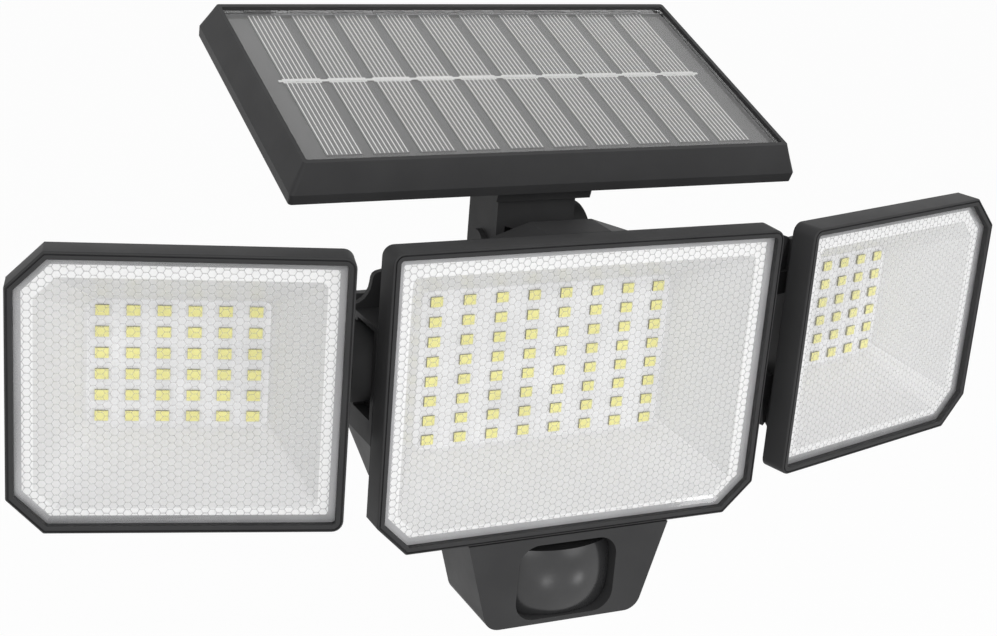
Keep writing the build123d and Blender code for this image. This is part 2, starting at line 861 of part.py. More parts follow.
with BuildPart() as busbar:
    with BuildSketch(panel.offset(-strip_top)):
        with Locations((0, 2.1)):
            Rectangle(panel_w - 14.0, 0.8)
            with GridLocations(cell_pitch, 0, 10, 1):
                Rectangle(cell_w + 0.8, 2.0)
    extrude(amount=busbar_thick)

save(busbar.part, "busbar")

with BuildPart() as panel_glass:
    extrude(sheet(glass_back, inner_w - fit, inner_l - fit, 0.55), amount=glass_thick)

save(panel_glass.part, "panel_glass")

# Bracket under the panel: pad and two fork plates
def under_pad(offset):
    """Height of the pad's underside over the pivot, at an offset towards the wall."""
    rise = (pivot_depth + offset - panel_depth) * math.tan(slope)
    return panel_z - pivot_z + rise - (tray_drop + pad_thick) / math.cos(slope)


with BuildPart() as panel_bracket:
    with BuildSketch(panel.offset(-tray_drop - pad_thick)):
        with Locations((0, (pad_front + pad_back) / 2)):
            Rectangle(2 * pad_half, pad_back - pad_front)
    extrude(amount=pad_thick)
    for side in (-1, 1):
        with BuildSketch(pivot.offset(fork_inner if side > 0 else -fork_outer)):
            Circle(fork_r)
            with BuildLine():
                Polyline(
                    (-fork_r, 0), (fork_r, 0), (fork_r, under_pad(fork_r) + 2.0),
                    (-fork_r, under_pad(-fork_r) + 2.0), close=True,
                )
            make_face()
        extrude(amount=fork_outer - fork_inner)
    # web that closes the front between the fork plates
    web_face = pivot_depth - fork_r
    with BuildSketch(at(front, web_face + web_front)):
        with BuildLine():
            Polyline(
                (-fork_inner - 1.0, pivot_z + under_pad(-fork_r) + 1.0), (-fork_inner - 1.0, web_low),
                (-3.0, web_tip), (3.0, web_tip), (fork_inner + 1.0, web_low),
                (fork_inner + 1.0, pivot_z + under_pad(-fork_r) + 1.0), close=True,
            )
        make_face()
    extrude(amount=web_front)
    with BuildSketch(pivot.offset(-fork_outer)):
        Circle(pivot_r)
    extrude(amount=2 * fork_outer, mode=Mode.SUBTRACT)
    # screw bores
    with BuildSketch(panel.offset(-tray_drop)):
        with Locations((0, pad_screw_at - pad_screw_step), (0, pad_screw_at + pad_screw_step)):
            Circle(screw_r)
    extrude(amount=-pad_thick, mode=Mode.SUBTRACT)

save(panel_bracket.part, "panel_bracket")

with BuildPart() as panel_screws:
    with BuildSketch(panel.offset(-tray_drop - pad_thick)):
        with Locations((0, pad_screw_at - pad_screw_step), (0, pad_screw_at + pad_screw_step)):
            Circle(screw_r)
    extrude(amount=pad_thick + 5.0)
    with BuildSketch(panel.offset(-tray_drop - pad_thick - 1.6)):
        with Locations((0, pad_screw_at - pad_screw_step), (0, pad_screw_at + pad_screw_step)):
            Circle(screw_head_r)
    extrude(amount=1.6)

save(panel_screws.part, "panel_screws")

with BuildPart() as panel_bolt:
    with BuildSketch(pivot.offset(-fork_outer)):
        Circle(pivot_r)
    extrude(amount=2 * fork_outer + 4.0)
    with BuildSketch(pivot.offset(-fork_outer - 1.6)):
        Circle(4.7)
    extrude(amount=1.6)

save(panel_bolt.part, "panel_bolt")

with BuildPart() as panel_knob:
    with BuildSketch(pivot.offset(fork_outer)):
        Circle(knob_r)
    extrude(amount=5.5)
    # coin slot
    with BuildSketch(pivot.offset(fork_outer + 5.5)):
        Rectangle(2.0, 2 * knob_r - 6.0)
    extrude(amount=-1.2, mode=Mode.SUBTRACT)
    with BuildSketch(pivot.offset(fork_outer)):
        Circle(pivot_r)
    extrude(amount=4.0, mode=Mode.SUBTRACT)

save(panel_knob.part, "panel_knob")

# Wall bracket, cored out from the wall side
with BuildPart() as wall_bracket:
    with BuildSketch(at(front, total_depth)):
        with Locations((0, plate_z)):
            RectangleRounded(plate_w, plate_h, 5.0)
    extrude(amount=plate_thick)
    with BuildSketch(at(front, box_end + plate_thick)):
        with Locations((0, arm_z)):
            RectangleRounded(flange_w, flange_h, 4.0)
    extrude(amount=plate_thick)
    with BuildSketch(at(front, total_depth)):
        with Locations((0, arm_z)):
            RectangleRounded(arm_w, arm_h, 3.0)
    extrude(amount=total_depth - box_end)
    with BuildSketch(at(front, total_depth)):
        with Locations((0, arm_z)):
            RectangleRounded(arm_w - 6.0, arm_h - 6.0, 1.5)
    extrude(amount=total_depth - box_end - plate_thick, mode=Mode.SUBTRACT)
    with BuildSketch(at(front, total_depth)):
        with Locations((0, plate_z)):
            with GridLocations(wall_pitch_x, wall_pitch_z, 2, 2):
                Circle(wall_hole_r)
    extrude(amount=plate_thick, mode=Mode.SUBTRACT)
    with BuildSketch(at(front, box_end + plate_thick)):
        with Locations((0, arm_z)):
            with GridLocations(*bracket_pitch, 2, 2):
                Circle(bracket_screw_r)
    extrude(amount=plate_thick, mode=Mode.SUBTRACT)

save(wall_bracket.part, "wall_bracket")

with BuildPart() as bracket_screws:
    with BuildSketch(at(front, box_end + plate_thick)):
        with Locations((0, arm_z)):
            with GridLocations(*bracket_pitch, 2, 2):
                Circle(bracket_screw_r)
    extrude(amount=plate_thick + 3.0)
    with BuildSketch(at(front, box_end + plate_thick + 2.0)):
        with Locations((0, arm_z)):
            with GridLocations(*bracket_pitch, 2, 2):
                Circle(3.6)
    extrude(amount=2.0)

save(bracket_screws.part, "bracket_screws")
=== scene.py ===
import json
import math

import bmesh
import bpy
from bpy.props import FloatProperty, FloatVectorProperty, IntProperty, PointerProperty
from mathutils import Matrix, Vector


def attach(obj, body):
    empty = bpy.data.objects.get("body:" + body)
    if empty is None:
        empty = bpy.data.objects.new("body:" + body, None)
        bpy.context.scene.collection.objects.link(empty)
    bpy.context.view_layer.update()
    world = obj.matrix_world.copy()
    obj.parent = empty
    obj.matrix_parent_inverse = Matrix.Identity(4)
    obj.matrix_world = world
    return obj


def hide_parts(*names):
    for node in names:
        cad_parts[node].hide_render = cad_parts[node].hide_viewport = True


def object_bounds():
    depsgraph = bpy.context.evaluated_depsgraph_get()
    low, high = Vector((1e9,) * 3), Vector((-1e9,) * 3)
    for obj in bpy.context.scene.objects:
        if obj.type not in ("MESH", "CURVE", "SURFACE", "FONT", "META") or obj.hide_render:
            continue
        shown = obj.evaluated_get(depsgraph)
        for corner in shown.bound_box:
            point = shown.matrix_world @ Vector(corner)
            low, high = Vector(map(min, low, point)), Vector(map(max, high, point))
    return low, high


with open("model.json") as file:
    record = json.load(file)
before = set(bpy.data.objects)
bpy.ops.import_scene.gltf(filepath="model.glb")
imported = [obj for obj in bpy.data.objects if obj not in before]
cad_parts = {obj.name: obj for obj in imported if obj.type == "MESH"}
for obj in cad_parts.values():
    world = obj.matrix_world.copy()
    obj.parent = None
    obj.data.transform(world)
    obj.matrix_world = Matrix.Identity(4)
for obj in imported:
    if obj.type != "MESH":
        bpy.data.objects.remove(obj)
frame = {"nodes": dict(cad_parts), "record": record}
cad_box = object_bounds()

bl_info = {
    "name": "Motion sensor security light",
    "version": (1, 0, 0),
    "blender": (4, 5, 0),
    "location": "View3D > Sidebar > Light",
    "description": "Dresses the security light's frame with lenses, LEDs, solar cells and finishes",
    "category": "Object",
}

MM = 0.001

# The middle lamp's centre lies this far above the origin, in metres
LIFT = 0.032
# From the wall to the middle lamp's rim, in mm
DEPTH = 126.0

# Side lamps: their turn outwards, and their rim's centre counted from the middle one's, in mm
SIDE_TURN = math.radians(15.03)
SIDE_ACROSS = 108.96
SIDE_BACK = 10.64
SIDE_UP = 4.54

# Depths behind a lamp's rim and insets from its outline, in mm
FRAME_DEPTH = 8.0
FRAME_WALL = 1.4
LIP_WIDTH = 2.1
LIP_DEPTH = 1.8
LENS_BACK = 2.8
SEAL_BAND = 1.8
BOARD_TOP = 25.5
CORNER_R = 3.0
CUT_R = 0.8
LEAST_R = 0.5

# LED package in mm
CHIP_WIDE = 3.5
CHIP_HIGH = 2.8
CHIP_THICK = 0.7

# Solar panel: its slope, and its rim's centre behind the lamp's rim and above its centre, in mm
PANEL_SLOPE = math.radians(18.16)
PANEL_DEPTH = 65.74
PANEL_UP = 72.2
# Cell strips in the panel, in mm: their pitch, length, middle and depth below the rim
STRIP_PITCH = 13.3
STRIP_LENGTH = 73.3
STRIP_MIDDLE = 1.85
STRIP_SUNK = 3.0
FINGER_PITCH = 1.32
FINGER_THICK = 0.04

# Screws and pins in mm: core radius, head radius, head height and length
HOUSING_SCREW = (1.5, 2.8, 1.6, 7.2)
BRACKET_SCREW = (2.0, 3.6, 2.0, 6.0)
PANEL_SCREW = (1.5, 2.8, 1.6, 10.8)
SWIVEL_PIN = (1.5, 2.9, 1.2, 39.0)
# Their seats in mm: across, depth behind the rims and height
HOUSING_SEATS = [(x, 32.4, z) for x in (41.0, -41.0) for z in (28.4, -32.4)]
BRACKET_SEATS = [(x, 69.0, z) for x in (20.0, -20.0) for z in (-16.0, -32.0)]
PIN_SEAT = (65.96, 20.0, 24.04)
# The panel's screws in mm: places up its slope and their seats' depth below the rim
PANEL_SEATS = (-29.0, -18.0)
PANEL_SEAT_SUNK = 16.9

# Lamps of the stage in metres and watts; the spots show as two soft dots on the sensor's dome
KEY_PLACE = (-0.5, -1.5, 0.75)
KEY_SIZE = 1.1
FILL_PLACE = (0.8, -1.2, 0.4)
FILL_SIZE = 0.9
FILL_SHARE = 0.35
LAMP_AIM = (0.0, -0.06, LIFT)
SPOT_PLACES = {"spot_left": (0.018, -0.403, -0.137), "spot_right": (0.1885, -0.3304, -0.1435)}
SPOT_AIM = (0.0, -0.12, LIFT - 0.0575)
SPOT_SIZE = 0.05
SPOT_POWER = 0.028

# Camera: place in metres, its own axes, and lens and sensor in mm
CAMERA_PLACE = (-0.23145, -0.53259, 0.18020 + LIFT)
CAMERA_RIGHT = Vector((0.90324, -0.42191, 0.07838))
CAMERA_UP = Vector((0.07150, 0.32806, 0.94195))
CAMERA_AHEAD = Vector((0.42313, 0.84520, -0.32648))
CAMERA_LENS = 67.04
CAMERA_SENSOR = 36.0

# Noise stays mostly between these two values
NOISE_SPAN = (0.3, 0.7)


def plane(start, across, facing):
    """Matrix of a plane: where its middle lies, its X axis and the way it faces."""
    turn = Matrix((across, facing.cross(across), facing)).transposed()
    return Matrix.Translation(start) @ turn.to_4x4()


class Head:
    """One lamp head: its body, front plane, outline and LED grid.

    side is -1 for left, 0 for middle and 1 for right, cuts are the corners cut off by cut mm, grid is
    the LEDs' pitch across and up in mm with their columns and rows, and rise lifts them by so many mm.
    """

    def __init__(self, name, body, side, size, cuts, cut, grid, rise):
        turn = SIDE_TURN * side
        across = Vector((math.cos(turn), math.sin(turn), 0.0))
        facing = Vector((math.sin(turn), -math.cos(turn), 0.0))
        out = abs(side) * MM
        start = Vector((SIDE_ACROSS * side * MM, SIDE_BACK * out - DEPTH * MM, LIFT + SIDE_UP * out))
        self.name = name
        self.body = body
        self.size = size
        self.cuts = cuts
        self.cut = cut
        self.grid = grid
        self.rise = rise
        self.place = plane(start, across, facing)

    def corners(self):
        """Corners of the outline in mm, each with its radius, anticlockwise."""
        w, h = self.size[0] / 2, self.size[1] / 2
        found = []
        for x, y in ((-1, -1), (1, -1), (1, 1), (-1, 1)):
            if (x, y) in self.cuts:
                along = [(x * w, y * (h - self.cut), CUT_R), (x * (w - self.cut), y * h, CUT_R)]
                found += along if x * y > 0 else along[::-1]
            else:
                found.append((x * w, y * h, CORNER_R))
        return found


def side_head(name, side):
    """A side lamp, with its two outer corners cut."""
    return Head(
        name, name + "_lamp", side, size=(85.0, 74.7), cuts={(side, -1), (side, 1)}, cut=9.26,
        grid=(7.87, 5.86, 6, 6), rise=-0.5,
    )


MIDDLE = Head(
    "middle", "housing", 0, size=(116.3, 84.6), cuts={(-1, -1), (1, -1)}, cut=8.8,
    grid=(9.84, 5.77, 8, 8), rise=-0.6,
)
HEADS = (MIDDLE, side_head("left", -1), side_head("right", 1))


def panel_place():
    """Matrix of the solar panel's rim plane."""
    facing = Vector((0.0, -math.sin(PANEL_SLOPE), math.cos(PANEL_SLOPE)))
    start = Vector((0.0, (PANEL_DEPTH - DEPTH) * MM, PANEL_UP * MM + LIFT))
    return plane(start, Vector((1.0, 0.0, 0.0)), facing)


def quarter(steps):
    """Angles of a quarter turn, from 0."""
    return [math.pi / 2 * k / steps for k in range(steps + 1)]


def drawn_in(corners, inset):
    """The outline with every edge moved inwards, as straight corners."""
    count = len(corners)
    edges = []
    for i in range(count):
        a = Vector(corners[i][:2])
        b = Vector(corners[(i + 1) % count][:2])
        along = (b - a).normalized()
        inwards = Vector((-along.y, along.x))
        edges.append((a + inwards * inset, along))
    moved = []
    for i in range(count):
        (p, d), (q, e) = edges[i - 1], edges[i]
        s = ((q - p).x * e.y - (q - p).y * e.x) / (d.x * e.y - d.y * e.x)
        moved.append(p + d * s)
    return moved


def rounded(corners, inset, steps=6):
    """Points of the outline drawn in, with its corners rounded."""
    moved = drawn_in(corners, inset)
    points = []
    for i, corner in enumerate(moved):
        before = (moved[i - 1] - corner).normalized()
        after = (moved[(i + 1) % len(moved)] - corner).normalized()
        half = before.angle(after) / 2
        radius = max(corners[i][2] - inset, LEAST_R)
        centre = corner + (before + after).normalized() * radius / math.sin(half)
        start = corner + before * radius / math.tan(half) - centre
        sweep = math.pi - 2 * half
        for k in range(steps + 1):
            turn = sweep * k / steps
            spoke = Vector((
                start.x * math.cos(turn) - start.y * math.sin(turn),
                start.x * math.sin(turn) + start.y * math.cos(turn),
            ))
            points.append(centre + spoke)
    return points


def piece(name, mesh, body, finish, replaced=()):
    """A finished mesh as a piece that rides on a body."""
    obj = bpy.data.objects.new(name, mesh)
    bpy.context.scene.collection.objects.link(obj)
    if finish is not None:
        mesh.materials.clear()
        mesh.materials.append(finish)
    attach(obj, body)
    if replaced:
        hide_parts(*replaced)
    return obj


def stacked(rings, place, loop=True):
    """Mesh through rings of points and their heights, in mm, closed on itself or capped."""
    shape = bmesh.new()
    rows = [
        [shape.verts.new(place @ Vector((p.x * MM, p.y * MM, height * MM))) for p in points]
        for points, height in rings
    ]
    count = len(rows[0])
    pairs = list(zip(rows, rows[1:]))
    if loop:
        pairs.append((rows[-1], rows[0]))
    for low, high in pairs:
        for i in range(count):
            j = (i + 1) % count
            shape.faces.new((low[i], low[j], high[j], high[i]))
    if not loop:
        shape.faces.new(rows[0][::-1])
        shape.faces.new(rows[-1])
    return as_mesh(shape)


def as_mesh(shape, smooth=40.0):
    """Plain mesh from a bmesh, faces outwards, smooth up to an angle."""
    bmesh.ops.remove_doubles(shape, verts=shape.verts, dist=1e-6)
    bmesh.ops.recalc_face_normals(shape, faces=shape.faces)
    for face in shape.faces:
        face.smooth = True
    for edge in shape.edges:
        edge.smooth = edge.calc_face_angle(math.pi) < math.radians(smooth)
    mesh = bpy.data.meshes.new("shape")
    shape.to_mesh(mesh)
    shape.free()
    return mesh


def turned(profile, steps=32):
    """Bmesh of a profile of (radius, height) in mm turned about Z."""
    shape = bmesh.new()
    rows = []
    for radius, height in profile:
        if radius == 0:
            rows.append([shape.verts.new((0, 0, height * MM))])
        else:
            rows.append([
                shape.verts.new((
                    radius * MM * math.cos(2 * math.pi * k / steps),
                    radius * MM * math.sin(2 * math.pi * k / steps),
                    height * MM,
                ))
                for k in range(steps)
            ])
    for low, high in zip(rows, rows[1:]):
        for k in range(steps):
            j = (k + 1) % steps
            ring = [low[k % len(low)], low[j % len(low)], high[j % len(high)], high[k % len(high)]]
            shape.faces.new(list(dict.fromkeys(ring)))
    return shape


# Finishes ---------------------------------------------------------------------------------


def plain(name, colour, rough, metal=0.0, shine=0.5):
    """New material with a Principled shader."""
    mat = bpy.data.materials.new(name)
    mat.use_nodes = True
    shader = mat.node_tree.nodes["Principled BSDF"]
    shader.inputs["Base Color"].default_value = (*colour, 1.0)
    shader.inputs["Roughness"].default_value = rough
    shader.inputs["Metallic"].default_value = metal
    shader.inputs["Specular IOR Level"].default_value = shine
    return mat


def noise(mat, scale, detail=3.0, stretch=(1.0, 1.0, 1.0)):
    """Noise over the object's own coordinates, in features per metre."""
    nodes, links = mat.node_tree.nodes, mat.node_tree.links
    coords = nodes.new("ShaderNodeTexCoord")
    mapping = nodes.new("ShaderNodeMapping")
    mapping.inputs["Scale"].default_value = stretch
    texture = nodes.new("ShaderNodeTexNoise")
    texture.inputs["Scale"].default_value = scale
    texture.inputs["Detail"].default_value = detail
    links.new(coords.outputs["Object"], mapping.inputs["Vector"])
    links.new(mapping.outputs["Vector"], texture.inputs["Vector"])
    return texture.outputs["Fac"]


def mottle(mat, scale, dark, light, stretch=(1.0, 1.0, 1.0)):
    """Colour that drifts between two shades."""
    nodes, links = mat.node_tree.nodes, mat.node_tree.links
    ramp = nodes.new("ShaderNodeValToRGB")
    for stop, at, colour in zip(ramp.color_ramp.elements, NOISE_SPAN, (dark, light)):
        stop.position = at
        stop.color = (*colour, 1.0)
    links.new(noise(mat, scale, stretch=stretch), ramp.inputs["Fac"])
    links.new(ramp.outputs["Color"], nodes["Principled BSDF"].inputs["Base Color"])


def vary_shine(mat, scale, low, high, stretch=(1.0, 1.0, 1.0)):
    """Roughness that drifts between two values."""
    nodes, links = mat.node_tree.nodes, mat.node_tree.links
    spread = nodes.new("ShaderNodeMapRange")
    spread.inputs["From Min"].default_value = NOISE_SPAN[0]
    spread.inputs["From Max"].default_value = NOISE_SPAN[1]
    spread.inputs["To Min"].default_value = low
    spread.inputs["To Max"].default_value = high
    links.new(noise(mat, scale, stretch=stretch), spread.inputs["Value"])
    links.new(spread.outputs["Result"], nodes["Principled BSDF"].inputs["Roughness"])


def grain(mat, scale, height, strength=0.3):
    """Fine raised texture of a moulded surface."""
    nodes, links = mat.node_tree.nodes, mat.node_tree.links
    bump = nodes.new("ShaderNodeBump")
    bump.inputs["Strength"].default_value = strength
    bump.inputs["Distance"].default_value = height
    links.new(noise(mat, scale, 2.0), bump.inputs["Height"])
    links.new(bump.outputs["Normal"], nodes["Principled BSDF"].inputs["Normal"])


def shade(colour, factor):
    return tuple(c * factor for c in colour)


def moulded(name, colour, rough, texture=3500.0, height=0.00002, shine=0.3):
    """Moulded plastic with a fine grain."""
    mat = plain(name, colour, rough, shine=shine)
    mottle(mat, 60.0, shade(colour, 0.92), shade(colour, 1.08))
    vary_shine(mat, 90.0, rough - 0.04, rough + 0.04)
    grain(mat, texture, height)
    return mat


def reflector(name, colour, rough):
    """White plastic whose flange that faces forwards is painted brighter than its sloping walls:
    painted light, not a different plastic.
    """
    # painted light: faces whose normal points forwards past this limit get a brighter white
    forwards = -0.93
    painted_light_white = 0.99
    mat = plain(name, colour, rough, shine=0.3)
    vary_shine(mat, 90.0, rough - 0.04, rough + 0.04)
    nodes, links = mat.node_tree.nodes, mat.node_tree.links
    way = nodes.new("ShaderNodeTexCoord")
    split = nodes.new("ShaderNodeSeparateXYZ")
    painted_light_flange = nodes.new("ShaderNodeMath")
    painted_light_flange.operation = "LESS_THAN"
    painted_light_flange.inputs[1].default_value = forwards
    mix = nodes.new("ShaderNodeMix")
    mix.data_type = "RGBA"
    mix.inputs["A"].default_value = (*colour, 1.0)
    mix.inputs["B"].default_value = (painted_light_white, painted_light_white, painted_light_white, 1.0)
    links.new(way.outputs["Normal"], split.inputs[0])
    links.new(split.outputs["Y"], painted_light_flange.inputs[0])
    links.new(painted_light_flange.outputs[0], mix.inputs["Factor"])
    links.new(mix.outputs["Result"], nodes["Principled BSDF"].inputs["Base Color"])
    return mat


def smooth(name, colour, rough, metallic=0.0):
    """Flat printed or laminated surface with a slow drift in shade and polish."""
    mat = plain(name, colour, rough, metallic, 0.3)
    mottle(mat, 20.0, shade(colour, 0.97), shade(colour, 1.03))
    vary_shine(mat, 30.0, rough - 0.02, rough + 0.02)
    return mat


def metal(name, colour, rough, stretch=(1.0, 1.0, 1.0)):
    """Plated or brushed metal."""
    mat = plain(name, colour, rough, metal=1.0)
    mottle(mat, 500.0, shade(colour, 0.85), colour, stretch)
    vary_shine(mat, 700.0, rough - 0.08, rough + 0.08, stretch)
    return mat


def let_lamps_through(mat):
    """Makes a clear sheet vanish for shadows and for the light on matt surfaces behind it."""
    nodes, links = mat.node_tree.nodes, mat.node_tree.links
    shader = nodes["Principled BSDF"]
    path = nodes.new("ShaderNodeLightPath")
    either = nodes.new("ShaderNodeMath")
    either.operation = "MAXIMUM"
    gap = nodes.new("ShaderNodeBsdfTransparent")
    mix = nodes.new("ShaderNodeMixShader")
    links.new(path.outputs["Is Shadow Ray"], either.inputs[0])
    links.new(path.outputs["Is Diffuse Ray"], either.inputs[1])
    links.new(either.outputs["Value"], mix.inputs["Fac"])
    links.new(shader.outputs["BSDF"], mix.inputs[1])
    links.new(gap.outputs["BSDF"], mix.inputs[2])
    links.new(mix.outputs["Shader"], nodes["Material Output"].inputs["Surface"])


def clear_sheet(name, colour, rough, ior, drift=0.03):
    """Clear plastic or glass plate whose polish drifts a little."""
    mat = plain(name, colour, rough)
    shader = mat.node_tree.nodes["Principled BSDF"]
    shader.inputs["Transmission Weight"].default_value = 1.0
    shader.inputs["IOR"].default_value = ior
    if drift:
        vary_shine(mat, 40.0, rough, rough + drift)
    let_lamps_through(mat)
    return mat


def dome(name):
    """Dark glossy plastic of the sensor's dome."""
    mat = plain(name, (0.03, 0.03, 0.031), 0.22)
    mottle(mat, 120.0, (0.026, 0.026, 0.027), (0.034, 0.034, 0.035))
    vary_shine(mat, 150.0, 0.2, 0.26)
    return mat


def comb_ribs(name, colour):
    """Faint grey of the honeycomb's ribs, mostly see-through."""
    faint = 0.16
    mat = plain(name, tuple(colour), 0.5)
    mottle(mat, 300.0, shade(colour, 0.9), shade(colour, 1.1))
    mat.node_tree.nodes["Principled BSDF"].inputs["Alpha"].default_value = faint
    return mat


def make_finishes(colours):
    """Every finish by the record's material slot, and those of the added pieces."""
    black = tuple(colours.housing)
    white = tuple(colours.reflector)
    found = {
        "black_housing": moulded("black_housing_plastic", black, 0.5, shine=0.12),
        "black_rubber": moulded("black_rubber_skin", (0.02, 0.02, 0.02), 0.75, 2500.0, 0.00003),
        "grey_seal": moulded("grey_seal_rubber", tuple(colours.seal), 0.6, 1500.0),
        # the reflectors' flanges carry painted light, a brighter white on faces that look forwards
        "white_reflector": reflector("white_reflector_plastic", white, 0.4),
        "led_board": moulded("white_board_mask", white, 0.5, 1500.0, 0.000006),
        # painted shade: the LED packages' sides are dark olive to stand in for their shade and shadow,
        # not for their own white plastic
        "led_chip": moulded("led_side_resin", (0.13, 0.125, 0.06), 0.5, 4000.0, 0.000004),
        "led_window": moulded("led_phosphor", tuple(colours.phosphor), 0.45, 5000.0, 0.00001),
        "green_board": moulded("green_board_mask", (0.02, 0.14, 0.05), 0.35, 1800.0, 0.00001),
        "holder_plastic": moulded("cell_holder_plastic", (0.03, 0.03, 0.03), 0.5),
        "cell_wrap": moulded("cell_sleeve", (0.04, 0.13, 0.42), 0.28, 800.0, 0.00001),
        "panel_sheet": smooth("panel_backing", tuple(colours.backing), 0.5),
        "solar_cell": smooth("solar_cell_face", tuple(colours.cell), 0.45),
        "steel": metal("zinc_plated_steel", (0.55, 0.55, 0.53), 0.35),
        "sensor_metal": metal("sensor_can_metal", (0.62, 0.62, 0.6), 0.3),
        "tinned_strip": smooth("tinned_ribbon", (0.97, 0.97, 0.96), 0.5, 0.1),
        "clear_lens": clear_sheet("clear_lens_plastic", (1.0, 1.0, 1.0), 0.02, 1.49),
        "panel_glass": clear_sheet("panel_cover_glass", (1.0, 1.0, 1.0), 0.0, 1.35, drift=0.0),
    }
    found["sensor_window"] = dome("sensor_dome_plastic")
    found["ribs"] = comb_ribs("comb_ribs", colours.ribs)
    return found


FINISHES = {}


# Node trees -------------------------------------------------------------------------------


def new_tree(name, inputs):
    """Geometry tree with named inputs, given with its input node and the sockets' identifiers."""
    tree = bpy.data.node_groups.new(name, "GeometryNodeTree")
    tree.interface.new_socket("Geometry", in_out="OUTPUT", socket_type="NodeSocketGeometry")
    keys = {}
    for label, kind in inputs:
        socket = tree.interface.new_socket(label, in_out="INPUT", socket_type="NodeSocket" + kind)
        keys[label] = socket.identifier
    return tree, tree.nodes.new("NodeGroupInput"), keys


def node(tree, kind, operation=None, **values):
    """New node, with its operation and its sockets, each given as a value or another socket."""
    made = tree.nodes.new(kind)
    if operation:
        made.operation = operation
    for key, value in values.items():
        put(tree, made.inputs[key.replace("_", " ")], value)
    return made


def put(tree, socket, value):
    """Sets a socket to a value, or links it to another socket."""
    if isinstance(value, bpy.types.NodeSocket):
        tree.links.new(value, socket)
    else:
        socket.default_value = value


def maths(tree, operation, a, b=0.0):
    """Result of one sum on two numbers or sockets."""
    made = tree.nodes.new("ShaderNodeMath")
    made.operation = operation
    put(tree, made.inputs[0], a)
    put(tree, made.inputs[1], b)
    return made.outputs[0]


def vector(tree, x=0.0, y=0.0, z=0.0):
    """Vector from three numbers or sockets."""
    made = tree.nodes.new("ShaderNodeCombineXYZ")
    for socket, value in zip(made.inputs, (x, y, z)):
        put(tree, socket, value)
    return made.outputs[0]


def finish_tree(tree, geometry, finish):
    """Realised instances with their material, as the tree's output."""
    real = node(tree, "GeometryNodeRealizeInstances", Geometry=geometry)
    painted = node(tree, "GeometryNodeSetMaterial", Geometry=real.outputs[0], Material=finish)
    out = tree.nodes.new("NodeGroupOutput")
    tree.links.new(painted.outputs[0], out.inputs[0])


def grown(tree, keys, values):
    """Plain mesh that a tree makes from its values."""
    holder = bpy.data.objects.new("holder", bpy.data.meshes.new("holder"))
    bpy.context.scene.collection.objects.link(holder)
    modifier = holder.modifiers.new("tree", "NODES")
    modifier.node_group = tree
    for label, value in values.items():
        modifier[keys[label]] = value
    graph = bpy.context.evaluated_depsgraph_get()
    graph.update()
    mesh = bpy.data.meshes.new_from_object(holder.evaluated_get(graph), depsgraph=graph)
    bpy.data.objects.remove(holder)
    if not mesh.polygons:
        raise RuntimeError(tree.name + " made nothing")
    return mesh


def comb_tree():
    """Net of ribs on the edges of flat-topped hexagons, centred on the origin."""
    tree, given, keys = new_tree("Honeycomb ribs", (
        ("Width", "Float"), ("Height", "Float"), ("Cell pitch", "Float"),
        ("Rib width", "Float"), ("Rib depth", "Float"), ("Material", "Material"),
    ))
    pitch = given.outputs["Cell pitch"]
    side = maths(tree, "DIVIDE", pitch, math.sqrt(3.0))
    column = maths(tree, "MULTIPLY", side, 3.0)
    bar = node(
        tree, "GeometryNodeMeshCube",
        Size=vector(tree, side, given.outputs["Rib width"], given.outputs["Rib depth"]),
    )
    ribs = tree.nodes.new("GeometryNodeJoinGeometry")
    for angle in (90.0, 30.0, -30.0):
        # one of the three bars that each cell adds, at the middle of its edge
        reach = maths(tree, "MULTIPLY", pitch, 0.5)
        across = maths(tree, "MULTIPLY", reach, math.cos(math.radians(angle)))
        up = maths(tree, "MULTIPLY", reach, math.sin(math.radians(angle)))
        moved = node(
            tree, "GeometryNodeTransform",
            Geometry=bar.outputs[0],
            Translation=vector(tree, across, up),
            Rotation=(0.0, 0.0, math.radians(angle - 90.0)),
        )
        tree.links.new(moved.outputs[0], ribs.inputs[0])
    whole = tree.nodes.new("GeometryNodeJoinGeometry")
    # every second column of cells lies half a cell higher
    for shift in (0.0, 0.5):
        columns = maths(tree, "CEIL", maths(tree, "DIVIDE", given.outputs["Width"], column))
        rows = maths(tree, "CEIL", maths(tree, "DIVIDE", given.outputs["Height"], pitch))
        spread = node(
            tree, "GeometryNodeMeshGrid",
            Size_X=maths(tree, "MULTIPLY", columns, column),
            Size_Y=maths(tree, "MULTIPLY", rows, pitch),
            Vertices_X=maths(tree, "ADD", columns, 1.0),
            Vertices_Y=maths(tree, "ADD", rows, 1.0),
        )
        aside = maths(tree, "MULTIPLY", column, shift)
        above = maths(tree, "MULTIPLY", pitch, shift)
        placed = node(
            tree, "GeometryNodeTransform",
            Geometry=spread.outputs[0], Translation=vector(tree, aside, above),
        )
        copies = node(
            tree, "GeometryNodeInstanceOnPoints",
            Points=placed.outputs[0], Instance=ribs.outputs[0],
        )
        tree.links.new(copies.outputs[0], whole.inputs[0])
    finish_tree(tree, whole.outputs[0], given.outputs["Material"])
    return tree, keys


